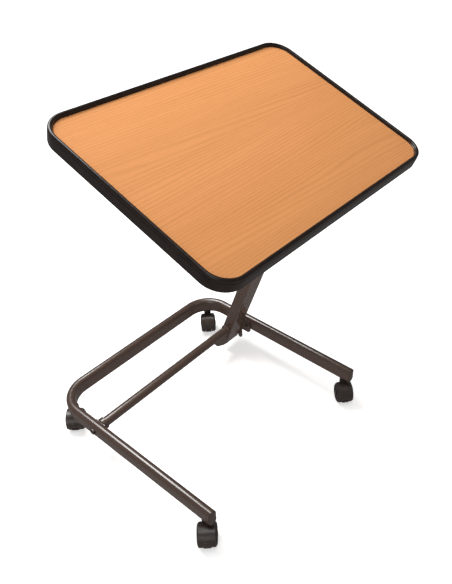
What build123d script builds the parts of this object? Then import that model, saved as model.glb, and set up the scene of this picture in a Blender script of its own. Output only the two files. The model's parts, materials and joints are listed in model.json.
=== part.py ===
# Overbed table: a tilting tray top on a leaning telescopic post, standing on a
# U-shaped tube frame with four hooded twin-wheel castors. Millimetres, +Z up.
# The origin is on the floor, under the middle of the whole table's bounding box.
# +X points out of the open end of the floor frame, which is also down the slope
# of the top; +Y points to the side that carries the post.
from build123d import *
import os
from math import cos, radians, sin

os.makedirs("parts", exist_ok=True)

# ------------------------------------------------------------ driving dimensions
# Floor frame: one bent flat-oval tube
BACK_X = -247.45        # centreline of the rear run
MID_Y = -56.05          # middle of the floor frame, side to side
LEG_SPACING = 492.0     # between the two legs' centrelines
LEG_REACH = 480.5       # rear centreline to the cut ends of the legs
BEND_RADIUS = 66.0
TUBE_HEIGHT = 40.0
TUBE_WIDTH = 20.0
WALL = 1.5              # of every steel tube
TUBE_Z = 82.0           # height of the frame's centreline
CAP_THICK = 3.0         # plastic end caps

# Cross bar and post
BAR_OFFSET = 134.0      # cross bar axis in front of the rear centreline
BAR_DIAMETER = 22.0
LEAN = 20.4             # degrees that the post leans forward
POST_OFFSET = 206.0     # post axis from the frame's middle, towards +Y
POST_DEPTH = 28.0       # across the lean
POST_WIDTH = 52.0       # along Y
POST_BOTTOM = -50.0     # heights along the post count from the cross bar's axis
POST_TOP = 400.0
MAST_DEPTH = 20.0       # inner, sliding post
MAST_WIDTH = 44.0
MAST_BOTTOM = 200.0
MAST_TOP = 560.0
BUSH_LENGTH = 50.0
LOCK_HEIGHT = 375.0     # height lock screw, along the post
SLIDE_GAP = 0.3         # clearance of sliding and turning neighbours

# Tray top
TOP_LENGTH = 600.0      # along Y
TOP_DEPTH = 412.0       # down the slope
TOP_CORNER = 46.0
TOP_UPHILL = 44.8       # post axis to the middle of the top, up the slope
TOP_SIDEWAYS = -107.0   # post axis to the middle of the top, along Y
RIM_TOP = 629.8         # heights along the post
RIM_HEIGHT = 28.0
RIM_RISE = 6.5          # rim above the laminate
RIM_WIDTH = 9.0
RIM_WALL = 3.0
BOARD_THICK = 18.0      # with its laminate
LAMINATE = 0.8
LAMINATE_PLAY = 0.1     # around the laminate, inside the rim's lip

# Tilt joint
PIVOT_HEIGHT = 577.0
EAR_RADIUS = 13.0
PIN_RADIUS = 4.0
RUNNING = 0.08          # radial clearance of a running fit

# Castors
WHEEL_RADIUS = 25.0
WHEEL_WIDTH = 12.2
WEB_HALF = 7.6
WHEEL_INNER = 8.0       # wheel's inner face from the castor's middle
TRAIL = 12.0
HOOD_RADIUS = 27.5
HOOD_WALL = 1.6
STEM_RADIUS = 5.0
AXLE_RADIUS = 3.0

# ------------------------------------------------------------ derived places
LEFT_Y = MID_Y - LEG_SPACING / 2
RIGHT_Y = MID_Y + LEG_SPACING / 2
TIP_X = BACK_X + LEG_REACH
BAR_X = BACK_X + BAR_OFFSET
POST_Y = MID_Y + POST_OFFSET
BAR_END_Y = POST_Y - POST_WIDTH / 2
TUBE_BOTTOM = TUBE_Z - TUBE_HEIGHT / 2
LAMINATE_TOP = RIM_TOP - RIM_RISE
BOARD_BOTTOM = LAMINATE_TOP - BOARD_THICK
SIN = sin(radians(LEAN))
COS = cos(radians(LEAN))
UP_POST = Axis((BAR_X, POST_Y, TUBE_Z), (SIN, 0, COS))


def save(piece, name):
    """Labels a finished piece and writes it as parts/NAME.step."""
    piece.part.label = name
    export_step(piece.part, f"parts/{name}.step")


def post_point(height, downhill=0.0, across=0.0):
    """A point given by its height along the post, its distance down the slope and along Y."""
    x = BAR_X + height * SIN + downhill * COS
    z = TUBE_Z + height * COS - downhill * SIN
    return (x, POST_Y + across, z)


def deck(height, downhill=0.0, across=0.0):
    """Plane square to the post: local x runs down the slope, y along +Y, z up the post."""
    point = post_point(height, downhill, across)
    return Plane(origin=point, x_dir=(COS, 0, -SIN), z_dir=(SIN, 0, COS))


def side(height, across):
    """Plane facing +Y at a height along the post: local x runs up the slope, y up the post."""
    point = post_point(height, 0, across)
    return Plane(origin=point, x_dir=(-COS, 0, SIN), z_dir=(0, 1, 0))


def facing_y(x, y, z):
    """Plane facing +Y: local x runs along -X and local y straight up."""
    return Plane(origin=(x, y, z), x_dir=(-1, 0, 0), z_dir=(0, 1, 0))


# ------------------------------------------------------------ floor frame
FRONT_CASTOR_X = BACK_X + 464.0
BEND_45 = BEND_RADIUS * (1 - cos(radians(45)))   # a bend's middle from both straight runs
CASTORS = {
    "front_left": (FRONT_CASTOR_X, LEFT_Y, -47.0),
    "front_right": (FRONT_CASTOR_X, RIGHT_Y, -43.0),
    "rear_left": (BACK_X + BEND_45, LEFT_Y + BEND_45, -46.0),
    "rear_right": (BACK_X + BEND_45, RIGHT_Y - BEND_45, -44.0),
}
SOCKET_RADIUS = 7.5
BAR_BOLT_RADIUS = 4.0
FOOT_BOLT_RADIUS = 3.0
FOOT_BOLT_SPREAD = 30.0     # each foot bolt from the cross bar's axis, along X
HOLE_PLAY = 0.15

with BuildPart() as base_frame:
    with BuildLine() as frame_route:
        FilletPolyline(
            (TIP_X, LEFT_Y, TUBE_Z),
            (BACK_X, LEFT_Y, TUBE_Z),
            (BACK_X, RIGHT_Y, TUBE_Z),
            (TIP_X, RIGHT_Y, TUBE_Z),
            radius=BEND_RADIUS,
        )
    with BuildSketch(Plane(origin=(TIP_X, LEFT_Y, TUBE_Z), x_dir=(0, 1, 0), z_dir=(-1, 0, 0))):
        SlotOverall(TUBE_HEIGHT, TUBE_WIDTH, rotation=90)
        SlotOverall(
            TUBE_HEIGHT - 2 * WALL, TUBE_WIDTH - 2 * WALL, rotation=90, mode=Mode.SUBTRACT
        )
    sweep()
    for castor_x, castor_y, _ in CASTORS.values():
        with BuildSketch(Plane.XY.offset(TUBE_BOTTOM - 1)):
            with Locations((castor_x, castor_y)):
                Circle(SOCKET_RADIUS)
        extrude(amount=TUBE_WIDTH / 2 + 2, mode=Mode.SUBTRACT)
    with BuildSketch(facing_y(BAR_X, LEFT_Y - TUBE_WIDTH, TUBE_Z)):
        Circle(BAR_BOLT_RADIUS + HOLE_PLAY)
    extrude(amount=2 * TUBE_WIDTH, mode=Mode.SUBTRACT)
    with BuildSketch(facing_y(BAR_X, RIGHT_Y - TUBE_WIDTH, TUBE_Z)):
        with Locations((-FOOT_BOLT_SPREAD, 0), (FOOT_BOLT_SPREAD, 0)):
            Circle(FOOT_BOLT_RADIUS + HOLE_PLAY)
    extrude(amount=2 * TUBE_WIDTH, mode=Mode.SUBTRACT)
save(base_frame, "base_frame")

CAP_SHANK = 8.0
CAP_PLAY = 0.1


def make_leg_cap(name, leg_y):
    """Plug in a leg's open end: a flat-oval head and a shank inside the tube."""
    with BuildPart() as cap:
        with BuildSketch(Plane(origin=(TIP_X, leg_y, TUBE_Z), x_dir=(0, 1, 0), z_dir=(1, 0, 0))):
            SlotOverall(TUBE_HEIGHT, TUBE_WIDTH, rotation=90)
        extrude(amount=CAP_THICK)
        fillet(cap.faces().sort_by(Axis.X)[-1].edges(), 1.6)
        with BuildSketch(Plane(origin=(TIP_X, leg_y, TUBE_Z), x_dir=(0, 1, 0), z_dir=(-1, 0, 0))):
            SlotOverall(
                TUBE_HEIGHT - 2 * (WALL + CAP_PLAY),
                TUBE_WIDTH - 2 * (WALL + CAP_PLAY),
                rotation=90,
            )
            SlotOverall(TUBE_HEIGHT - 10, TUBE_WIDTH - 10, rotation=90, mode=Mode.SUBTRACT)
        extrude(amount=CAP_SHANK)
    save(cap, name)


make_leg_cap("leg_cap_left", LEFT_Y)
make_leg_cap("leg_cap_right", RIGHT_Y)

# ------------------------------------------------------------ cross bar
LEFT_INNER_Y = LEFT_Y + TUBE_WIDTH / 2
RIGHT_INNER_Y = RIGHT_Y - TUBE_WIDTH / 2
SADDLE_THICK = 3.0
BAR_RADIUS = BAR_DIAMETER / 2
BAR_START_Y = LEFT_INNER_Y + SADDLE_THICK
WELD_LEG = 3.0

with BuildPart() as cross_bar:
    with BuildSketch(facing_y(BAR_X, BAR_START_Y, TUBE_Z)):
        Circle(BAR_RADIUS)
        Circle(BAR_RADIUS - WALL, mode=Mode.SUBTRACT)
    extrude(amount=BAR_END_Y - BAR_START_Y)
    with BuildSketch(Plane(origin=(BAR_X, BAR_END_Y, TUBE_Z), x_dir=(0, 0, 1), z_dir=(1, 0, 0))):
        with BuildLine():
            Polyline(
                (BAR_RADIUS - WALL / 2, 0),
                (BAR_RADIUS + WELD_LEG, 0),
                (BAR_RADIUS - WALL / 2, WELD_LEG + 1),
                close=True,
            )
        make_face()
    revolve(axis=Axis((BAR_X, BAR_END_Y, TUBE_Z), (0, 1, 0)))
save(cross_bar, "cross_bar")

with BuildPart() as cross_bar_saddle:
    with BuildSketch(facing_y(BAR_X, LEFT_INNER_Y, TUBE_Z)):
        RectangleRounded(34, 19, 4)
        Circle(BAR_BOLT_RADIUS + HOLE_PLAY, mode=Mode.SUBTRACT)
    extrude(amount=SADDLE_THICK)
    with BuildSketch(facing_y(BAR_X, BAR_START_Y, TUBE_Z)):
        Circle(BAR_RADIUS + 3)
        Circle(BAR_RADIUS, mode=Mode.SUBTRACT)
    extrude(amount=10)
    fillet(cross_bar_saddle.edges().filter_by(GeomType.CIRCLE).sort_by(Axis.Y)[-1], 1.2)
save(cross_bar_saddle, "cross_bar_saddle")

PLUG_LENGTH = 30.0
with BuildPart() as cross_bar_plug:
    with BuildSketch(facing_y(BAR_X, BAR_START_Y, TUBE_Z)):
        Circle(BAR_RADIUS - WALL)
        Circle(BAR_BOLT_RADIUS, mode=Mode.SUBTRACT)
    extrude(amount=PLUG_LENGTH)
save(cross_bar_plug, "cross_bar_plug")


def make_bolt(name, places, seat_y, shank_radius, shank_length, head_radius, head_height):
    """Dome-headed socket bolts seen from -Y, their shanks running along +Y from the seat."""
    with BuildPart() as bolt:
        for x, z in places:
            with BuildSketch(facing_y(x, seat_y - head_height, z)):
                Circle(head_radius)
            extrude(amount=head_height)
        dome_edges = bolt.edges().filter_by(GeomType.CIRCLE).group_by(Axis.Y)[0]
        fillet(dome_edges, head_height * 0.7)
        for x, z in places:
            with BuildSketch(facing_y(x, seat_y, z)):
                Circle(shank_radius)
            extrude(amount=shank_length)
            with BuildSketch(facing_y(x, seat_y - head_height, z)):
                RegularPolygon(head_radius * 0.45, 6)
            extrude(amount=head_height * 0.6, mode=Mode.SUBTRACT)
    save(bolt, name)


make_bolt(
    "cross_bar_bolt",
    [(BAR_X, TUBE_Z)],
    LEFT_Y - TUBE_WIDTH / 2,
    BAR_BOLT_RADIUS,
    TUBE_WIDTH + SADDLE_THICK + PLUG_LENGTH - 4,
    7.5,
    4.5,
)

with BuildPart() as cross_bar_gusset:
    with BuildSketch(Plane(origin=(BAR_X, BAR_END_Y, TUBE_Z), x_dir=(0, 1, 0), z_dir=(1, 0, 0))):
        with BuildLine():
            Polyline(
                (0, -BAR_RADIUS - WELD_LEG - 0.4),
                (-WELD_LEG - 2, -BAR_RADIUS - 0.2),
                (-52, -BAR_RADIUS - 0.2),
                (-38, -31),
                (-14, -42),
                (0, -43),
                close=True,
            )
        make_face()
    extrude(amount=2.5, both=True)
save(cross_bar_gusset, "cross_bar_gusset")

# ------------------------------------------------------------ outer post
LOCK_BOSS_RADIUS = 10.0
LOCK_BOSS_LENGTH = 10.0
LOCK_SCREW_RADIUS = 4.0
POST_FACE = POST_WIDTH / 2

with BuildPart() as outer_post:
    with BuildSketch(deck(POST_BOTTOM)):
        RectangleRounded(POST_DEPTH, POST_WIDTH, 3.5)
        RectangleRounded(POST_DEPTH - 2 * WALL, POST_WIDTH - 2 * WALL, 2, mode=Mode.SUBTRACT)
    extrude(amount=POST_TOP - POST_BOTTOM)
    with BuildSketch(side(LOCK_HEIGHT, 0)):
        Circle(LOCK_SCREW_RADIUS + SLIDE_GAP)
    extrude(amount=POST_WIDTH, mode=Mode.SUBTRACT)
save(outer_post, "outer_post")

with BuildPart() as post_foot_cap:
    with BuildSketch(deck(POST_BOTTOM - 2.5)):
        RectangleRounded(POST_DEPTH, POST_WIDTH, 3.5)
    extrude(amount=2.5)
    with BuildSketch(deck(POST_BOTTOM)):
        RectangleRounded(POST_DEPTH - 2 * WALL - 0.2, POST_WIDTH - 2 * WALL - 0.2, 1.9)
        RectangleRounded(POST_DEPTH - 10, POST_WIDTH - 10, 1, mode=Mode.SUBTRACT)
    extrude(amount=14)
save(post_foot_cap, "post_foot_cap")

BRACKET_Y = POST_Y + POST_FACE
BRACKET_THICK = RIGHT_INNER_Y - BRACKET_Y
with BuildPart() as foot_bracket:
    with BuildSketch(facing_y(BAR_X, BRACKET_Y, TUBE_Z)):
        with Locations((1.5, -6)):
            RectangleRounded(78, 40, 9)
        with Locations((-1, -42)):
            RectangleRounded(12, 34, 5)
        with Locations((-FOOT_BOLT_SPREAD, 0), (FOOT_BOLT_SPREAD, 0)):
            Circle(FOOT_BOLT_RADIUS + HOLE_PLAY, mode=Mode.SUBTRACT)
    extrude(amount=BRACKET_THICK)
save(foot_bracket, "foot_bracket")

FOOT_BOLTS = [(BAR_X - FOOT_BOLT_SPREAD, TUBE_Z), (BAR_X + FOOT_BOLT_SPREAD, TUBE_Z)]
FOOT_NUT_Y = RIGHT_Y + TUBE_WIDTH / 2
make_bolt(
    "foot_bolts",
    FOOT_BOLTS,
    BRACKET_Y,
    FOOT_BOLT_RADIUS,
    BRACKET_THICK + TUBE_WIDTH + 7,
    6.0,
    3.6,
)

with BuildPart() as foot_nuts:
    for nut_x, nut_z in FOOT_BOLTS:
        with BuildSketch(facing_y(nut_x, FOOT_NUT_Y, nut_z)):
            RegularPolygon(5.0, 6, major_radius=False)
            Circle(FOOT_BOLT_RADIUS, mode=Mode.SUBTRACT)
        extrude(amount=5)
save(foot_nuts, "foot_nuts")

with BuildPart() as post_guide_bush:
    with BuildSketch(deck(POST_TOP - BUSH_LENGTH)):
        RectangleRounded(POST_DEPTH - 2 * WALL, POST_WIDTH - 2 * WALL, 2)
    extrude(amount=BUSH_LENGTH)
    with BuildSketch(deck(POST_TOP)):
        RectangleRounded(POST_DEPTH + 5, POST_WIDTH + 5, 5)
    extrude(amount=8)
    fillet(post_guide_bush.faces().sort_by(UP_POST)[-1].edges(), 2.5)
    with BuildSketch(deck(POST_TOP - BUSH_LENGTH)):
        RectangleRounded(MAST_DEPTH + 2 * SLIDE_GAP, MAST_WIDTH + 2 * SLIDE_GAP, 2.3)
    extrude(amount=BUSH_LENGTH + 10, mode=Mode.SUBTRACT)
    with BuildSketch(side(LOCK_HEIGHT, 0)):
        Circle(LOCK_SCREW_RADIUS + SLIDE_GAP)
    extrude(amount=POST_WIDTH, mode=Mode.SUBTRACT)
save(post_guide_bush, "post_guide_bush")

with BuildPart() as height_lock_boss:
    with BuildSketch(side(LOCK_HEIGHT, POST_FACE)):
        Circle(LOCK_BOSS_RADIUS)
        Circle(LOCK_SCREW_RADIUS + RUNNING, mode=Mode.SUBTRACT)
    extrude(amount=LOCK_BOSS_LENGTH)
    chamfer(height_lock_boss.faces().sort_by(Axis.Y)[-1].outer_wire().edges(), 1)
save(height_lock_boss, "height_lock_boss")

# ------------------------------------------------------------ hand knobs
KNOB_LOBES = 5
HUB_LENGTH = 8.0


def make_knob(name, height, hub_across, radius, grip_length, bore_radius, bore_depth):
    """Star knob on the +Y side: a round hub, then a lobed grip, with a blind bore from the hub."""
    lobe = radius * 0.28
    with BuildPart() as knob:
        with BuildSketch(side(height, hub_across)):
            Circle(radius * 0.5)
        extrude(amount=HUB_LENGTH)
        with BuildSketch(side(height, hub_across + HUB_LENGTH)):
            Circle(radius * 0.78)
            with PolarLocations(radius - lobe, KNOB_LOBES):
                Circle(lobe)
            fillet(vertices(), 2.5)
        extrude(amount=grip_length)
        fillet(knob.faces().sort_by(Axis.Y)[-1].edges(), 2.5)
        with BuildSketch(side(height, hub_across)):
            Circle(bore_radius)
        extrude(amount=bore_depth, mode=Mode.SUBTRACT)
    save(knob, name)


LOCK_HUB = POST_FACE + LOCK_BOSS_LENGTH + 2 * SLIDE_GAP
LOCK_BORE_DEPTH = 18.0
make_knob("height_knob", LOCK_HEIGHT, LOCK_HUB, 23.0, 15.0, LOCK_SCREW_RADIUS, LOCK_BORE_DEPTH)

LOCK_TIP = MAST_WIDTH / 2 + SLIDE_GAP
with BuildPart() as height_lock_screw:
    with BuildSketch(side(LOCK_HEIGHT, LOCK_TIP)):
        Circle(LOCK_SCREW_RADIUS)
    extrude(amount=LOCK_HUB + LOCK_BORE_DEPTH - LOCK_TIP)
    chamfer(height_lock_screw.faces().sort_by(Axis.Y)[0].edges(), 0.8)
save(height_lock_screw, "height_lock_screw")

# ------------------------------------------------------------ inner post and tilt yoke
with BuildPart() as inner_post:
    with BuildSketch(deck(MAST_BOTTOM)):
        RectangleRounded(MAST_DEPTH, MAST_WIDTH, 2.5)
        RectangleRounded(MAST_DEPTH - 2 * WALL, MAST_WIDTH - 2 * WALL, 1.2, mode=Mode.SUBTRACT)
    extrude(amount=MAST_TOP - MAST_BOTTOM)
save(inner_post, "inner_post")

GLIDE_THICK = 6.0
with BuildPart() as inner_post_glide:
    with BuildSketch(deck(MAST_BOTTOM - GLIDE_THICK)):
        RectangleRounded(
            POST_DEPTH - 2 * WALL - 2 * SLIDE_GAP, POST_WIDTH - 2 * WALL - 2 * SLIDE_GAP, 1.7
        )
    extrude(amount=GLIDE_THICK)
    with BuildSketch(deck(MAST_BOTTOM)):
        RectangleRounded(MAST_DEPTH - 2 * WALL - 0.2, MAST_WIDTH - 2 * WALL - 0.2, 1)
        RectangleRounded(MAST_DEPTH - 9, MAST_WIDTH - 9, 1, mode=Mode.SUBTRACT)
    extrude(amount=16)
save(inner_post_glide, "inner_post_glide")

YOKE_BASE = 4.0
YOKE_EAR = 4.0
with BuildPart() as tilt_yoke:
    with BuildSketch(deck(MAST_TOP)):
        RectangleRounded(2 * EAR_RADIUS, MAST_WIDTH, 2)
    extrude(amount=YOKE_BASE)
    with BuildSketch(deck(MAST_TOP - 20)):
        RectangleRounded(MAST_DEPTH - 2 * WALL - 0.2, MAST_WIDTH - 2 * WALL - 0.2, 1)
        RectangleRounded(MAST_DEPTH - 9, MAST_WIDTH - 9, 1, mode=Mode.SUBTRACT)
    extrude(amount=20)
    for ear_start in (-MAST_WIDTH / 2, MAST_WIDTH / 2 - YOKE_EAR):
        with BuildSketch(side(PIVOT_HEIGHT, ear_start)):
            Circle(EAR_RADIUS)
            ear_foot = PIVOT_HEIGHT - MAST_TOP - YOKE_BASE
            with Locations((0, -ear_foot / 2)):
                Rectangle(2 * EAR_RADIUS, ear_foot)
            Circle(PIN_RADIUS + RUNNING, mode=Mode.SUBTRACT)
        extrude(amount=YOKE_EAR)
save(tilt_yoke, "tilt_yoke")

WASHER = 1.0
with BuildPart() as tilt_washers:
    for washer_start in (-MAST_WIDTH / 2 - WASHER, MAST_WIDTH / 2):
        with BuildSketch(side(PIVOT_HEIGHT, washer_start)):
            Circle(9)
            Circle(PIN_RADIUS + 2 * HOLE_PLAY, mode=Mode.SUBTRACT)
        extrude(amount=WASHER)
save(tilt_washers, "tilt_washers")

# ------------------------------------------------------------ table saddle and tilt clamp
PLATE = 3.0
PLATE_DEPTH = 110.0
PLATE_WIDTH = 170.0
EAR_INNER = MAST_WIDTH / 2 + WASHER + SLIDE_GAP
SCREW_PLACES = [(-42, -70), (42, -70), (-42, 0), (42, 0), (-42, 70), (42, 70)]
SCREW_RADIUS = 2.2

with BuildPart() as table_saddle:
    with BuildSketch(deck(BOARD_BOTTOM - PLATE)):
        RectangleRounded(PLATE_DEPTH, PLATE_WIDTH, 12)
        with Locations(*SCREW_PLACES):
            Circle(SCREW_RADIUS + HOLE_PLAY, mode=Mode.SUBTRACT)
    extrude(amount=PLATE)
    for ear_start in (-EAR_INNER - PLATE, EAR_INNER):
        with BuildSketch(side(PIVOT_HEIGHT, ear_start)):
            ear_rise = BOARD_BOTTOM - PLATE - PIVOT_HEIGHT
            with BuildLine():
                tangent_left = Line((-EAR_RADIUS, 0), (-2 * EAR_RADIUS, ear_rise))
                Line(tangent_left @ 1, (2 * EAR_RADIUS, ear_rise))
                Line((2 * EAR_RADIUS, ear_rise), (EAR_RADIUS, 0))
                ThreePointArc((EAR_RADIUS, 0), (0, -EAR_RADIUS), (-EAR_RADIUS, 0))
            make_face()
            Circle(PIN_RADIUS + HOLE_PLAY, mode=Mode.SUBTRACT)
        extrude(amount=PLATE)
save(table_saddle, "table_saddle")

TILT_HUB = EAR_INNER + PLATE + 2 * SLIDE_GAP
TILT_BORE_DEPTH = 17.0
TILT_HEAD = 5.0
with BuildPart() as tilt_bolt:
    with BuildSketch(side(PIVOT_HEIGHT, -EAR_INNER - PLATE - TILT_HEAD)):
        RegularPolygon(6.5, 6, major_radius=False)
    extrude(amount=TILT_HEAD)
    with BuildSketch(side(PIVOT_HEIGHT, -EAR_INNER - PLATE)):
        Circle(PIN_RADIUS)
    extrude(amount=EAR_INNER + PLATE + TILT_HUB + TILT_BORE_DEPTH - 1)
save(tilt_bolt, "tilt_bolt")

make_knob(
    "tilt_knob", PIVOT_HEIGHT, TILT_HUB, 20.0, 14.0, PIN_RADIUS + RUNNING, TILT_BORE_DEPTH
)

with BuildPart() as saddle_screws:
    with BuildSketch(deck(BOARD_BOTTOM - PLATE - 2.4)):
        with Locations(*SCREW_PLACES):
            Circle(4.2)
    extrude(amount=2.4)
    fillet(saddle_screws.edges().filter_by(GeomType.CIRCLE).group_by(UP_POST)[0], 1.4)
    with BuildSketch(deck(BOARD_BOTTOM - PLATE)):
        with Locations(*SCREW_PLACES):
            Circle(SCREW_RADIUS)
    extrude(amount=PLATE + 11)
save(saddle_screws, "saddle_screws")

# ------------------------------------------------------------ tray top
TONGUE_DEPTH = 8.0
TONGUE_THICK = 2.4
TONGUE_MIDDLE = BOARD_BOTTOM + BOARD_THICK / 2


def top_plane(height):
    """Plane of the tray top at a height along the post, centred on the top."""
    return deck(height, -TOP_UPHILL, TOP_SIDEWAYS)


def top_outline(inset):
    """The top's rounded outline, drawn inside its outer edge by the inset."""
    RectangleRounded(
        TOP_DEPTH - 2 * inset, TOP_LENGTH - 2 * inset, TOP_CORNER - inset
    )


with BuildPart() as table_board:
    with BuildSketch(top_plane(BOARD_BOTTOM)):
        top_outline(RIM_WALL)
    extrude(amount=BOARD_THICK - LAMINATE)
    with BuildSketch(top_plane(TONGUE_MIDDLE - TONGUE_THICK / 2 - 0.1)):
        top_outline(RIM_WALL - 1)
        with BuildSketch(mode=Mode.PRIVATE) as slot_floor:
            top_outline(RIM_WALL + TONGUE_DEPTH + 0.5)
        add(slot_floor.sketch, mode=Mode.SUBTRACT)
    extrude(amount=TONGUE_THICK + 0.2, mode=Mode.SUBTRACT)
    with BuildSketch(deck(BOARD_BOTTOM)):
        with Locations(*SCREW_PLACES):
            Circle(SCREW_RADIUS)
    extrude(amount=11.5, mode=Mode.SUBTRACT)
save(table_board, "table_board")

with BuildPart() as table_laminate:
    with BuildSketch(top_plane(LAMINATE_TOP - LAMINATE)):
        top_outline(RIM_WIDTH + LAMINATE_PLAY)
    extrude(amount=LAMINATE)
save(table_laminate, "table_laminate")

# The rim's section: x runs outwards from the middle of the front edge, y up the post.
RIM_BOTTOM = RIM_TOP - RIM_HEIGHT
GROOVE_HEIGHT = RIM_TOP - 7.5
RIDGE = 3.8             # radius of the rounded lip on top
half_x = TOP_DEPTH / 2
half_y = TOP_LENGTH / 2
bend_x = half_x - TOP_CORNER
bend_y = half_y - TOP_CORNER
with BuildPart() as edge_rim:
    with BuildLine(top_plane(RIM_BOTTOM)):
        Line((half_x, 0), (half_x, bend_y))
        CenterArc((bend_x, bend_y), TOP_CORNER, 0, 90)
        Line((bend_x, half_y), (-bend_x, half_y))
        CenterArc((-bend_x, bend_y), TOP_CORNER, 90, 90)
        Line((-half_x, bend_y), (-half_x, -bend_y))
        CenterArc((-bend_x, -bend_y), TOP_CORNER, 180, 90)
        Line((-bend_x, -half_y), (bend_x, -half_y))
        CenterArc((bend_x, -bend_y), TOP_CORNER, 270, 90)
        Line((half_x, -bend_y), (half_x, 0))
    rim_start = deck(RIM_BOTTOM, TOP_DEPTH / 2 - TOP_UPHILL, TOP_SIDEWAYS)
    with BuildSketch(Plane(origin=rim_start.origin, x_dir=rim_start.x_dir, z_dir=(0, -1, 0))):
        board_foot = BOARD_BOTTOM - RIM_BOTTOM
        board_top = LAMINATE_TOP - LAMINATE - RIM_BOTTOM
        tongue_low = TONGUE_MIDDLE - TONGUE_THICK / 2 - RIM_BOTTOM
        tongue_high = tongue_low + TONGUE_THICK
        groove = GROOVE_HEIGHT - RIM_BOTTOM
        ridge = RIM_HEIGHT - RIDGE
        with BuildLine():
            Polyline(
                (-RIM_WIDTH, board_top),
                (-RIM_WALL, board_top),
                (-RIM_WALL, tongue_high),
                (-RIM_WALL - TONGUE_DEPTH, tongue_high),
                (-RIM_WALL - TONGUE_DEPTH, tongue_low),
                (-RIM_WALL, tongue_low),
                (-RIM_WALL, board_foot),
                (-RIM_WIDTH, board_foot),
                (-RIM_WIDTH, 1.5),
            )
            ThreePointArc((-RIM_WIDTH, 1.5), (-RIM_WIDTH + 0.45, 0.45), (-RIM_WIDTH + 1.5, 0))
            Line((-RIM_WIDTH + 1.5, 0), (-2.5, 0))
            ThreePointArc((-2.5, 0), (-0.73, 0.73), (0, 2.5))
            Polyline((0, 2.5), (0, groove - 0.8), (-0.9, groove), (-0.3, groove + 0.8), (-0.3, ridge))
            ThreePointArc((-0.3, ridge), (-0.3 - RIDGE, RIM_HEIGHT), (-0.3 - 2 * RIDGE, ridge))
            Polyline((-0.3 - 2 * RIDGE, ridge), (-RIM_WIDTH, ridge - 1.6), (-RIM_WIDTH, board_top))
        make_face()
    sweep()
save(edge_rim, "edge_rim")

# ------------------------------------------------------------ castors
BOSS_RADIUS = 9.0
BOSS_TOP = 56.0
BOSS_FOOT = 49.8
STEM_FOOT = 34.0
STEM_TOP = 76.0
COLLAR_TOP = 59.0
HOOD_FRONT = 118.0      # degrees from the trailing direction, over the top
HOOD_REAR = -4.0
TAB_TOP = -16.0
TAB_BOTTOM = -37.0
HOOD_HALF = 17.6
TAB_RADIUS = 26.6
HOOD_ROUND = 1.2        # rounding of the hood's side edges
TREAD_ROUND = 7.0       # shoulder of the wheel's tread


def pie(radius, first, last):
    """A pie slice about the local origin, between two angles in degrees."""
    with BuildSketch(mode=Mode.PRIVATE) as pie_slice:
        with BuildLine():
            rim_arc = CenterArc((0, 0), radius, first, last - first)
            Line((0, 0), rim_arc @ 0)
            Line(rim_arc @ 1, (0, 0))
        make_face()
    return pie_slice.sketch


def hood_band():
    """The hood's curved wall in section."""
    with BuildSketch(mode=Mode.PRIVATE) as band:
        with BuildLine():
            outer_arc = CenterArc((0, 0), HOOD_RADIUS, HOOD_REAR, HOOD_FRONT - HOOD_REAR)
            inner_radius = HOOD_RADIUS - HOOD_WALL
            inner_arc = CenterArc((0, 0), inner_radius, HOOD_REAR, HOOD_FRONT - HOOD_REAR)
            Line(outer_arc @ 0, inner_arc @ 0)
            Line(outer_arc @ 1, inner_arc @ 1)
        make_face()
    return band.sketch


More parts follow.
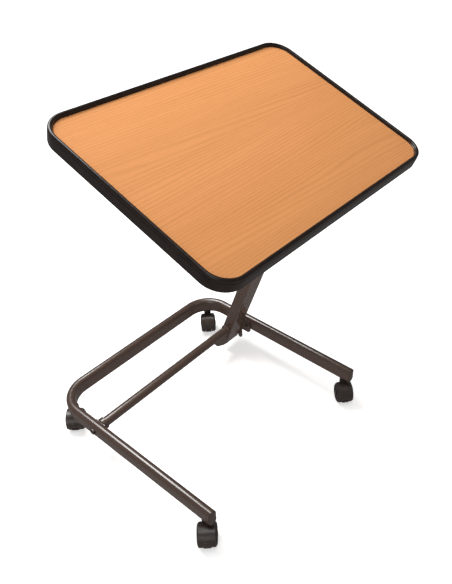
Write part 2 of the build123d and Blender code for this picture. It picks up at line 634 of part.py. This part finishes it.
def make_castor(corner, x, y, heading):
    """One castor: socket and stem in the frame, hooded body, axle and two wheels."""
    trail = (cos(radians(heading)), sin(radians(heading)), 0)
    axle_dir = (trail[1], -trail[0], 0)
    axle_point = (x + TRAIL * trail[0], y + TRAIL * trail[1], WHEEL_RADIUS)

    def across(offset, direction=1):
        """Plane square to the axle: local x trails, y is up for direction 1."""
        origin = Vector(axle_point) + Vector(axle_dir) * offset
        normal = Vector(axle_dir) * direction
        return Plane(origin=origin, x_dir=trail, z_dir=normal)

    def level(z):
        return Plane(origin=(x, y, z), x_dir=trail, z_dir=(0, 0, 1))

    along_axle = Axis(axle_point, axle_dir)

    with BuildPart() as socket:
        with BuildSketch(level(COLLAR_TOP)):
            Circle(9.5)
        extrude(amount=TUBE_BOTTOM - COLLAR_TOP)
        with BuildSketch(level(TUBE_BOTTOM)):
            Circle(SOCKET_RADIUS)
        extrude(amount=16)
        with BuildSketch(level(COLLAR_TOP)):
            Circle(STEM_RADIUS)
        extrude(amount=30, mode=Mode.SUBTRACT)
    save(socket, f"castor_{corner}_socket")

    with BuildPart() as stem:
        with BuildSketch(level(STEM_FOOT)):
            Circle(STEM_RADIUS)
        extrude(amount=STEM_TOP - STEM_FOOT)
        with BuildSketch(level(BOSS_TOP + SLIDE_GAP)):
            RegularPolygon(7.5, 6)
        extrude(amount=COLLAR_TOP - BOSS_TOP - SLIDE_GAP)
    save(stem, f"castor_{corner}_stem")

    with BuildPart() as body:
        with BuildSketch(across(-WEB_HALF)):
            add(pie(HOOD_RADIUS - HOOD_WALL / 2, HOOD_REAR, HOOD_FRONT))
            add(pie(TAB_RADIUS, TAB_BOTTOM, TAB_TOP))
            Circle(13)
            with Locations((-TRAIL, (BOSS_TOP - WHEEL_RADIUS) / 2)):
                Rectangle(2 * BOSS_RADIUS, BOSS_TOP - WHEEL_RADIUS)
        extrude(amount=2 * WEB_HALF)
        with BuildSketch(across(-HOOD_HALF)):
            add(hood_band())
        extrude(amount=2 * HOOD_HALF)
        sides = body.edges().filter_by(GeomType.CIRCLE)
        sides = sides.filter_by(lambda edge: abs(edge.radius - HOOD_RADIUS) < 0.01)
        fillet(sides.group_by(along_axle)[0] + sides.group_by(along_axle)[-1], HOOD_ROUND)
        with BuildSketch(level(BOSS_FOOT)):
            Circle(BOSS_RADIUS)
        extrude(amount=BOSS_TOP - BOSS_FOOT)
        with BuildSketch(level(STEM_FOOT - SLIDE_GAP)):
            Circle(STEM_RADIUS + RUNNING)
        extrude(amount=BOSS_TOP, mode=Mode.SUBTRACT)
        with BuildSketch(across(-WEB_HALF)):
            Circle(AXLE_RADIUS)
        extrude(amount=2 * WEB_HALF, mode=Mode.SUBTRACT)
    save(body, f"castor_{corner}_body")

    axle_half = WHEEL_INNER + 10
    with BuildPart() as axle:
        with BuildSketch(across(-axle_half)):
            Circle(AXLE_RADIUS)
        extrude(amount=2 * axle_half)
    save(axle, f"castor_{corner}_axle")

    for letter, direction in (("a", 1), ("b", -1)):
        with BuildPart() as wheel:
            with BuildSketch(across(direction * WHEEL_INNER, direction)):
                Circle(WHEEL_RADIUS)
            extrude(amount=WHEEL_WIDTH)
            outer_face = across(direction * (WHEEL_INNER + WHEEL_WIDTH), direction)
            outwards = Axis(outer_face.origin, outer_face.z_dir)
            fillet(wheel.faces().sort_by(outwards)[-1].edges(), TREAD_ROUND)
            fillet(wheel.faces().sort_by(outwards)[0].edges(), 0.8)
            with BuildSketch(outer_face):
                Circle(17)
                Circle(7, mode=Mode.SUBTRACT)
            extrude(amount=-2.2, mode=Mode.SUBTRACT)
            with BuildSketch(across(direction * WHEEL_INNER, direction)):
                Circle(AXLE_RADIUS + RUNNING)
            extrude(amount=10.3, mode=Mode.SUBTRACT)
        save(wheel, f"castor_{corner}_wheel_{letter}")


for corner_name, (stem_x, stem_y, trail_heading) in CASTORS.items():
    make_castor(corner_name, stem_x, stem_y, trail_heading)
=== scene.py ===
# Looks for the overbed table: materials, fine pieces, floor, light and camera around the
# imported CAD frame. Metres, in the CAD's own frame: +X down the slope of the top, +Z up.
import bmesh
import bpy
import json
import math
from mathutils import Matrix, Vector


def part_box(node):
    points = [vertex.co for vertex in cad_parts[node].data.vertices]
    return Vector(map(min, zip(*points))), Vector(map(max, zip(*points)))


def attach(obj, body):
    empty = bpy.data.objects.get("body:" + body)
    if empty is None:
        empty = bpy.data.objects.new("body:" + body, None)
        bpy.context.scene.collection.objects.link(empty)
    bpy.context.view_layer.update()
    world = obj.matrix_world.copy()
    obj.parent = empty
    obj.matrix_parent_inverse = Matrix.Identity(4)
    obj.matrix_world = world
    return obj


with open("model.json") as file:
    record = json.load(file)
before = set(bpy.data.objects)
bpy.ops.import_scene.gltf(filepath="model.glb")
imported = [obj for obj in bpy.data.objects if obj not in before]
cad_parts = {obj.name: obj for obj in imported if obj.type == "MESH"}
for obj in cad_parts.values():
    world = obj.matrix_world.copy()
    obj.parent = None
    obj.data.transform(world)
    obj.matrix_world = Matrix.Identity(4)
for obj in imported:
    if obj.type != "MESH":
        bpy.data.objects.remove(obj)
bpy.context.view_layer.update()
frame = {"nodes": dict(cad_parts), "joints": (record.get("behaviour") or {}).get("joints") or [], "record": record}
nodes = frame["nodes"]

TILT = math.radians(20.4)           # slope of the top
MM = 0.001
UP = Vector((0, 0, 1))


# ------------------------------------------------------------ camera
CAMERA_PLACE = (0.69965, -0.71775, 1.105)
CAMERA_YAW = math.radians(128.1)    # heading of the view from +X towards +Y
CAMERA_PITCH = math.radians(39.7)   # below the horizon
CAMERA_ROLL = math.radians(-0.74)
CAMERA_LENS = 36.0
CAMERA_SHIFT = (-0.0785, 0.038)


def make_camera():
    """A camera at the angle and distance that the object is usually shown from."""
    forward = Vector((
        math.cos(CAMERA_YAW) * math.cos(CAMERA_PITCH),
        math.sin(CAMERA_YAW) * math.cos(CAMERA_PITCH),
        -math.sin(CAMERA_PITCH),
    ))
    level = Vector((math.sin(CAMERA_YAW), -math.cos(CAMERA_YAW), 0))
    down = forward.cross(level)
    right = math.cos(CAMERA_ROLL) * level + math.sin(CAMERA_ROLL) * down
    low = math.cos(CAMERA_ROLL) * down - math.sin(CAMERA_ROLL) * level
    turn = Matrix((right, -low, -forward)).transposed()
    data = bpy.data.cameras.new("camera")
    data.lens = CAMERA_LENS
    data.shift_x, data.shift_y = CAMERA_SHIFT
    camera = bpy.data.objects.new("camera", data)
    camera.matrix_world = Matrix.Translation(CAMERA_PLACE) @ turn.to_4x4()
    bpy.context.scene.collection.objects.link(camera)
    bpy.context.scene.camera = camera


make_camera()


# ------------------------------------------------------------ light and floor
WORLD_STRENGTH = 0.20
FLOOR_REACH = 6.0                   # half of the floor's side
FLOOR_GLOW = (0.55, 1.0)            # under the table, and far from it
FLOOR_GLOW_FROM = (0.7, 2.2)        # distances between which the glow grows
DOME_RADIUS = 9.0
# name, place, the point it looks at, side of the square, power in watts
LIGHTS = (
    ("top_light", (0.5, -0.5, 2.6), (0, 0, 0.35), 0.9, 12),
    ("back_light", (-1.0, 0.0, 2.2), (0, -0.1, 0.2), 1.2, 50),
    ("side_light", (0.9, -2.1, 1.1), (0, -0.2, 0.2), 1.2, 9),
)


def make_area(name, place, aim, size, power):
    """A square soft light that looks at a point."""
    data = bpy.data.lights.new(name, "AREA")
    data.shape = "SQUARE"
    data.size = size
    data.energy = power
    light = bpy.data.objects.new(name, data)
    light.location = place
    light.rotation_euler = (Vector(aim) - Vector(place)).to_track_quat("-Z", "Y").to_euler()
    bpy.context.scene.collection.objects.link(light)


def make_backdrop():
    """A white dome far behind everything, seen only by the camera."""
    bm = bmesh.new()
    bmesh.ops.create_uvsphere(bm, u_segments=48, v_segments=24, radius=DOME_RADIUS)
    mesh = bpy.data.meshes.new("backdrop")
    bm.to_mesh(mesh)
    bm.free()
    dome = bpy.data.objects.new("backdrop", mesh)
    bpy.context.scene.collection.objects.link(dome)
    white = bpy.data.materials.new("white_backdrop")
    white.use_nodes = True
    shader = white.node_tree.nodes["Principled BSDF"]
    shader.inputs["Base Color"].default_value = (0, 0, 0, 1)
    shader.inputs["Specular IOR Level"].default_value = 0
    shader.inputs["Emission Color"].default_value = (1, 1, 1, 1)
    shader.inputs["Emission Strength"].default_value = 1.0
    mesh.materials.append(white)
    for ray in ("diffuse", "glossy", "transmission", "volume_scatter", "shadow"):
        setattr(dome, f"visible_{ray}", False)


def make_stage():
    """Pale floor, white backdrop, pale world and soft studio lights."""
    world = bpy.data.worlds.new("studio")
    world.use_nodes = True
    world.node_tree.nodes["Background"].inputs[0].default_value = (1, 1, 1, 1)
    world.node_tree.nodes["Background"].inputs[1].default_value = WORLD_STRENGTH
    bpy.context.scene.world = world
    bpy.context.scene.view_settings.view_transform = "Standard"
    mesh = bpy.data.meshes.new("floor")
    signs = ((-1, -1), (1, -1), (1, 1), (-1, 1))
    corners = [(FLOOR_REACH * x, FLOOR_REACH * y, 0) for x, y in signs]
    mesh.from_pydata(corners, [], [(0, 1, 2, 3)])
    floor = bpy.data.objects.new("floor", mesh)
    bpy.context.scene.collection.objects.link(floor)
    pale = bpy.data.materials.new("pale_floor")
    pale.use_nodes = True
    shader = pale.node_tree.nodes["Principled BSDF"]
    shader.inputs["Base Color"].default_value = (0.93, 0.93, 0.93, 1)
    shader.inputs["Roughness"].default_value = 0.9
    shader.inputs["Specular IOR Level"].default_value = 0.1
    shader.inputs["Emission Color"].default_value = (1, 1, 1, 1)
    tree = pale.node_tree
    place = tree.nodes.new("ShaderNodeTexCoord").outputs["Object"]
    radius = tree.nodes.new("ShaderNodeVectorMath")
    radius.operation = "LENGTH"
    tree.links.new(place, radius.inputs[0])
    glow = tree.nodes.new("ShaderNodeMapRange")
    glow.inputs["From Min"].default_value, glow.inputs["From Max"].default_value = FLOOR_GLOW_FROM
    glow.inputs["To Min"].default_value, glow.inputs["To Max"].default_value = FLOOR_GLOW
    tree.links.new(radius.outputs["Value"], glow.inputs["Value"])
    tree.links.new(glow.outputs[0], shader.inputs["Emission Strength"])
    mesh.materials.append(pale)
    floor.visible_glossy = False        # the studio's floor isn't this bright in reflections
    make_backdrop()
    for light in LIGHTS:
        make_area(*light)


make_stage()


# ------------------------------------------------------------ material tools
class Graph:
    """A material under construction: adds nodes and links them in short calls."""

    def __init__(self, name):
        self.material = bpy.data.materials.new(name)
        self.material.use_nodes = True
        self.tree = self.material.node_tree
        self.shader = self.tree.nodes["Principled BSDF"]
        self.place = self.add("ShaderNodeTexCoord").outputs["Object"]

    def add(self, kind, **settings):
        node = self.tree.nodes.new(kind)
        for key, value in settings.items():
            setattr(node, key, value)
        return node

    def link(self, source, target):
        self.tree.links.new(source, target)

    def turned(self, angle_y, scale):
        """Object coordinates turned about Y, then stretched."""
        turn = self.add("ShaderNodeMapping")
        turn.inputs["Rotation"].default_value = (0, angle_y, 0)
        self.link(self.place, turn.inputs["Vector"])
        stretch = self.add("ShaderNodeMapping")
        stretch.inputs["Scale"].default_value = scale
        self.link(turn.outputs[0], stretch.inputs["Vector"])
        return stretch.outputs[0]

    def noise(self, scale, detail=4.0, roughness=0.55, vector=None, distortion=0.0):
        node = self.add("ShaderNodeTexNoise")
        node.inputs["Scale"].default_value = scale
        node.inputs["Detail"].default_value = detail
        node.inputs["Roughness"].default_value = roughness
        node.inputs["Distortion"].default_value = distortion
        self.link(vector or self.place, node.inputs["Vector"])
        return node.outputs["Fac"]

    def cells(self, scale):
        node = self.add("ShaderNodeTexVoronoi", feature="F1")
        node.inputs["Scale"].default_value = scale
        self.link(self.place, node.inputs["Vector"])
        return node.outputs["Distance"]

    def ramp(self, source, stops):
        """Colour ramp; stops are (position, colour) pairs."""
        node = self.add("ShaderNodeValToRGB")
        points = node.color_ramp.elements
        while len(points) < len(stops):
            points.new(0.5)
        for point, (position, colour) in zip(points, stops):
            point.position = position
            point.color = (*colour, 1)
        self.link(source, node.inputs[0])
        return node.outputs[0]

    def spread(self, source, low, high):
        """Maps 0..1 to low..high."""
        node = self.add("ShaderNodeMapRange")
        node.inputs["To Min"].default_value = low
        node.inputs["To Max"].default_value = high
        self.link(source, node.inputs["Value"])
        return node.outputs[0]

    def mix(self, factor, first, second, blend="MIX"):
        """Mixes two colours; factor is a number or a socket."""
        node = self.add("ShaderNodeMix", data_type="RGBA", blend_type=blend)
        if isinstance(factor, (int, float)):
            node.inputs["Factor"].default_value = factor
        else:
            self.link(factor, node.inputs["Factor"])
        colour_a, colour_b = node.inputs[6], node.inputs[7]
        for socket, value in ((colour_a, first), (colour_b, second)):
            if isinstance(value, tuple):
                socket.default_value = (*value, 1)
            else:
                self.link(value, socket)
        colour_out = node.outputs[2]
        return colour_out

    def bump(self, height, strength, distance, below=None):
        node = self.add("ShaderNodeBump")
        node.inputs["Strength"].default_value = strength
        node.inputs["Distance"].default_value = distance
        self.link(height, node.inputs["Height"])
        if below is not None:
            self.link(below, node.inputs["Normal"])
        return node.outputs[0]

    def set(self, **values):
        """Sets shader sockets to numbers or links them to sockets."""
        for name, value in values.items():
            socket = self.shader.inputs[name.replace("_", " ")]
            if isinstance(value, (int, float)):
                socket.default_value = value
            elif isinstance(value, tuple):
                socket.default_value = (*value, 1)
            else:
                self.link(value, socket)


# ------------------------------------------------------------ materials
def frame_paint():
    """Glossy dark bronze powder paint with faint orange peel."""
    g = Graph("frame_paint")
    flecks = g.noise(900, 3, 0.6)
    clouds = g.noise(22, 3, 0.5)
    colour = g.ramp(flecks, [(0.3, (0.056, 0.032, 0.024)), (0.7, (0.075, 0.042, 0.030))])
    colour = g.mix(g.spread(clouds, 0.0, 0.35), colour, (0.062, 0.038, 0.029))
    peel = g.noise(340, 2, 0.4)
    normal = g.bump(peel, 0.03, 0.0002)
    g.set(Base_Color=colour, Roughness=g.spread(clouds, 0.20, 0.28), Normal=normal)
    g.set(Specular_IOR_Level=1.0)
    return g.material


def wood_laminate():
    """Matt orange beech: curved grain lines, fine streaks and flecks along the board's length."""
    g = Graph("wood_laminate")
    fine = g.noise(1.0, 6, 0.62, g.turned(-TILT, (310, 7, 310)), 0.3)
    broad = g.noise(1.0, 3, 0.5, g.turned(-TILT, (26, 1.4, 26)), 0.6)
    grain = g.add("ShaderNodeTexWave", wave_type="BANDS", bands_direction="X", wave_profile="SIN")
    grain.inputs["Scale"].default_value = 1.0
    grain.inputs["Distortion"].default_value = 62.0
    grain.inputs["Detail"].default_value = 3.0
    grain.inputs["Detail Scale"].default_value = 0.17
    grain.inputs["Detail Roughness"].default_value = 0.42
    g.link(g.turned(-TILT, (44, 3.2, 44)), grain.inputs["Vector"])
    strength = g.noise(1.0, 2, 0.5, g.turned(-TILT, (14, 1.6, 14)))
    flecks = g.noise(1.0, 2, 0.5, g.turned(-TILT, (900, 95, 900)))
    base = g.ramp(broad, [(0.25, (0.636, 0.276, 0.102)), (0.75, (0.684, 0.302, 0.115))])
    lines = g.ramp(grain.outputs["Fac"], [
        (0.0, (0.88, 0.85, 0.82)),
        (0.35, (0.98, 0.97, 0.96)),
        (0.7, (1.0, 1.0, 1.0)),
        (1.0, (1.0, 1.0, 1.0)),
    ])
    base = g.mix(g.spread(strength, 0.2, 1.3), base, lines, "MULTIPLY")
    streaks = g.ramp(fine, [(0.35, (0.88, 0.84, 0.80)), (0.65, (1.0, 1.0, 1.0))])
    base = g.mix(0.45, base, streaks, "MULTIPLY")
    dashes = g.ramp(flecks, [(0.30, (0.80, 0.73, 0.66)), (0.42, (1.0, 1.0, 1.0))])
    base = g.mix(0.35, base, dashes, "MULTIPLY")
    normal = g.bump(fine, 0.05, 0.0003, g.bump(g.noise(1500, 2), 0.05, 0.0002))
    g.set(Base_Color=base, Roughness=g.spread(fine, 0.50, 0.62), Normal=normal)
    g.set(Specular_IOR_Level=0.04)
    return g.material


def rim_plastic():
    """Glossy near-black brown edging with faint moulding waviness."""
    g = Graph("rim_plastic")
    waves = g.noise(60, 3, 0.5)
    colour = g.ramp(waves, [(0.3, (0.010, 0.0062, 0.0048)), (0.7, (0.017, 0.0105, 0.0080))])
    grain = g.noise(2400, 2)
    normal = g.bump(grain, 0.04, 0.0002, g.bump(waves, 0.05, 0.0006))
    g.set(Base_Color=colour, Roughness=g.spread(waves, 0.20, 0.30), Normal=normal)
    g.set(Specular_IOR_Level=0.28)
    return g.material


def moulded(name, dark, light, low, high, grain_scale=2200.0):
    """Satin moulded plastic with a fine spark-eroded grain."""
    g = Graph(name)
    clouds = g.noise(70, 3, 0.5)
    grain = g.noise(grain_scale, 2, 0.6)
    normal = g.bump(grain, 0.16, 0.0003, g.bump(clouds, 0.05, 0.0005))
    g.set(
        Base_Color=g.ramp(clouds, [(0.3, dark), (0.7, light)]),
        Roughness=g.spread(grain, low, high),
        Normal=normal,
    )
    return g.material


def zinc_steel():
    """Black zinc-plated steel with cloudy plating and turning marks."""
    g = Graph("zinc_steel")
    clouds = g.noise(160, 4, 0.6)
    marks = g.noise(1.0, 2, 0.5, g.turned(0, (2500, 120, 2500)))
    colour = g.ramp(clouds, [(0.3, (0.105, 0.092, 0.085)), (0.7, (0.20, 0.18, 0.17))])
    normal = g.bump(marks, 0.08, 0.0002)
    g.set(Base_Color=colour, Roughness=g.spread(clouds, 0.28, 0.44), Normal=normal, Metallic=1.0)
    return g.material


def board_core():
    """Pale balancing sheet over particle board, with pressed chips showing through."""
    g = Graph("board_core")
    chips = g.cells(260)
    dust = g.noise(700, 4, 0.6)
    colour = g.ramp(chips, [(0.1, (0.36, 0.25, 0.15)), (0.6, (0.50, 0.37, 0.24))])
    colour = g.mix(g.spread(dust, 0.1, 0.6), colour, (0.55, 0.42, 0.28))
    normal = g.bump(dust, 0.2, 0.0004)
    g.set(Base_Color=colour, Roughness=g.spread(dust, 0.55, 0.75), Normal=normal)
    return g.material


MATERIALS = {
    "frame_paint": frame_paint(),
    "wood_laminate": wood_laminate(),
    "rim_plastic": rim_plastic(),
    "cap_plastic": moulded("cap_plastic", (0.040, 0.024, 0.018), (0.058, 0.036, 0.027), 0.30, 0.42),
    "knob_plastic": moulded("knob_plastic", (0.010, 0.010, 0.011), (0.018, 0.018, 0.019), 0.42, 0.56),
    "glide_plastic": moulded("glide_plastic", (0.58, 0.57, 0.52), (0.68, 0.67, 0.62), 0.38, 0.5),
    "castor_plastic": moulded(
        "castor_plastic", (0.030, 0.020, 0.016), (0.044, 0.031, 0.026), 0.26, 0.38
    ),
    "wheel_plastic": moulded(
        "wheel_plastic", (0.018, 0.012, 0.010), (0.030, 0.020, 0.016), 0.36, 0.50, 1500.0
    ),
    "zinc_steel": zinc_steel(),
    "board_core": board_core(),
}


SHARP_ANGLE = math.radians(32)


def smooth(mesh):
    """Smooth shading across edges flatter than the angle."""
    mesh.polygons.foreach_set("use_smooth", [True] * len(mesh.polygons))
    mesh.set_sharp_from_angle(angle=SHARP_ANGLE)


for part in frame["record"]["subparts"]:
    node = nodes[part["node"]]
    node.data.materials.clear()
    node.data.materials.append(MATERIALS[part["material_slot"]])


# ------------------------------------------------------------ fine pieces

def link_mesh(name, bm, body, slot):
    """Makes a bmesh into a smooth piece that rides on a body and takes a slot's material."""
    bmesh.ops.recalc_face_normals(bm, faces=bm.faces)
    mesh = bpy.data.meshes.new(name)
    bm.to_mesh(mesh)
    bm.free()
    smooth(mesh)
    mesh.materials.append(MATERIALS[slot])
    piece = bpy.data.objects.new(name, mesh)
    bpy.context.scene.collection.objects.link(piece)
    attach(piece, body)


def lathe(name, profile, place, axis, body, slot, steps=72, ripple=0.0, ripples=0):
    """Turns a closed (radius, height) outline in mm about an axis through a place in metres."""
    turn = Vector(axis).to_track_quat("Z", "Y").to_matrix()
    bm = bmesh.new()
    rings = []
    for radius, height in profile:
        ring = []
        for step in range(steps):
            angle = 2 * math.pi * step / steps
            grown = radius + ripple * math.sin(ripples * angle)
            local = Vector((grown * math.cos(angle), grown * math.sin(angle), height)) * MM
            ring.append(bm.verts.new(Vector(place) + turn @ local))
        rings.append(ring)
    for first, second in zip(rings, rings[1:] + rings[:1]):
        for step in range(steps):
            after = (step + 1) % steps
            bm.faces.new((first[step], first[after], second[after], second[step]))
    link_mesh(name, bm, body, slot)


PINHOLE = 0.02      # mm, in the middle of a turned disc


def disc_profile(outline):
    """Keeps an outline that starts and ends on the axis clear of it by a pinhole too small to see."""
    return [(max(radius, PINHOLE), height) for radius, height in outline]


def middle_of(node):
    low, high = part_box(node)
    return (low + high) / 2


def joint_named(name):
    return next(joint for joint in frame["joints"] if joint["name"] == name)


CAP_STEPS = 48
WHEEL_FACE = 20.2   # mm from a castor's middle to a wheel's outer face
WHEEL_CAP = disc_profile([
    (0, 0.35), (3.4, 0.5), (4.4, 0.95), (5.6, 1.0), (6.3, 0.55), (6.4, 0.0), (6.4, -0.3), (0, -0.3),
])


def wheel_caps():
    """A dished snap-in cap in the hub of each castor wheel."""
    for joint in frame["joints"]:
        if "_roll_" not in joint["name"]:
            continue
        wheel = joint["child"]
        centre = Vector(joint["pos_m"])
        outwards = (middle_of(wheel) - centre).normalized()
        face = centre + outwards * WHEEL_FACE * MM
        lathe(f"{wheel}_cap", WHEEL_CAP, face, outwards, wheel, "castor_plastic", CAP_STEPS)


def knob_caps():
    """A round dished cap on the grip of each hand knob."""
    knobs = (("height_knob", "height_lock", 10.0), ("tilt_knob", "tilt_clamp", 8.5))
    for node, body, radius in knobs:
        centre = middle_of(node)
        face = Vector((centre.x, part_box(node)[1].y, centre.z))
        outline = disc_profile([
            (0, 0.5),
            (radius * 0.7, 0.7),
            (radius - 1, 1.1),
            (radius, 0.6),
            (radius, -0.3),
            (0, -0.3),
        ])
        lathe(f"{node}_cap", outline, face, (0, 1, 0), body, "cap_plastic", CAP_STEPS)


WELD_RING = 12.6    # mm, as are the bead, its set-back and its ripple
WELD_BEAD = 2.2
WELD_BACK = 1.2
WELD_RIPPLE = 0.35
WELD_RIPPLES = 22
WELD_STEPS = 120
WELD_SECTION = 14   # points round the bead


def weld_bead():
    """Rippled weld bead where the cross bar meets the post."""
    centre = middle_of("cross_bar")
    centre.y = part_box("cross_bar")[1].y
    profile = []
    for step in range(WELD_SECTION):
        angle = 2 * math.pi * step / WELD_SECTION
        radius = WELD_RING + WELD_BEAD * math.cos(angle)
        profile.append((radius, -WELD_BACK + WELD_BEAD * 0.8 * math.sin(angle)))
    lathe(
        "cross_bar_weld", profile, centre, (0, 1, 0), "floor_frame", "frame_paint",
        WELD_STEPS, WELD_RIPPLE, WELD_RIPPLES,
    )


def block(name, place, axes, size, edge, body, slot):
    """A box with rounded edges, centred at a place; axes are its three unit directions."""
    bm = bmesh.new()
    bmesh.ops.create_cube(bm, size=1)
    bmesh.ops.scale(bm, vec=Vector(size) * MM, verts=bm.verts)
    bmesh.ops.bevel(
        bm, geom=bm.edges[:], offset=edge * MM, segments=3, profile=0.5, affect="EDGES"
    )
    turn = Matrix(axes).transposed()
    for vert in bm.verts:
        vert.co = Vector(place) + turn @ vert.co
    link_mesh(name, bm, body, slot)


PAD_SLOPE = math.radians(18)        # above the axle, on the trailing side
PAD_RADIUS = 27.8                   # mm from the axle to the pad's middle
PAD_SIZE = (11.5, 7.5, 1.8)
PAD_ROUND = 0.6


def brake_pads():
    """A raised finger pad low on the trailing side of each castor's hood."""
    for joint in frame["joints"]:
        if not joint["name"].endswith("_swivel"):
            continue
        castor = joint["child"]
        stem = Vector(joint["pos_m"])
        axle = Vector(joint_named(f"{castor}_roll_a")["pos_m"])
        trail = Vector((axle.x - stem.x, axle.y - stem.y, 0)).normalized()
        outwards = trail * math.cos(PAD_SLOPE) + UP * math.sin(PAD_SLOPE)
        along = UP.cross(trail)
        axes = (along, outwards.cross(along), outwards)
        place = axle + outwards * PAD_RADIUS * MM
        block(f"{castor}_pad", place, axes, PAD_SIZE, PAD_ROUND, castor, "castor_plastic")


wheel_caps()
knob_caps()
weld_bead()
brake_pads()
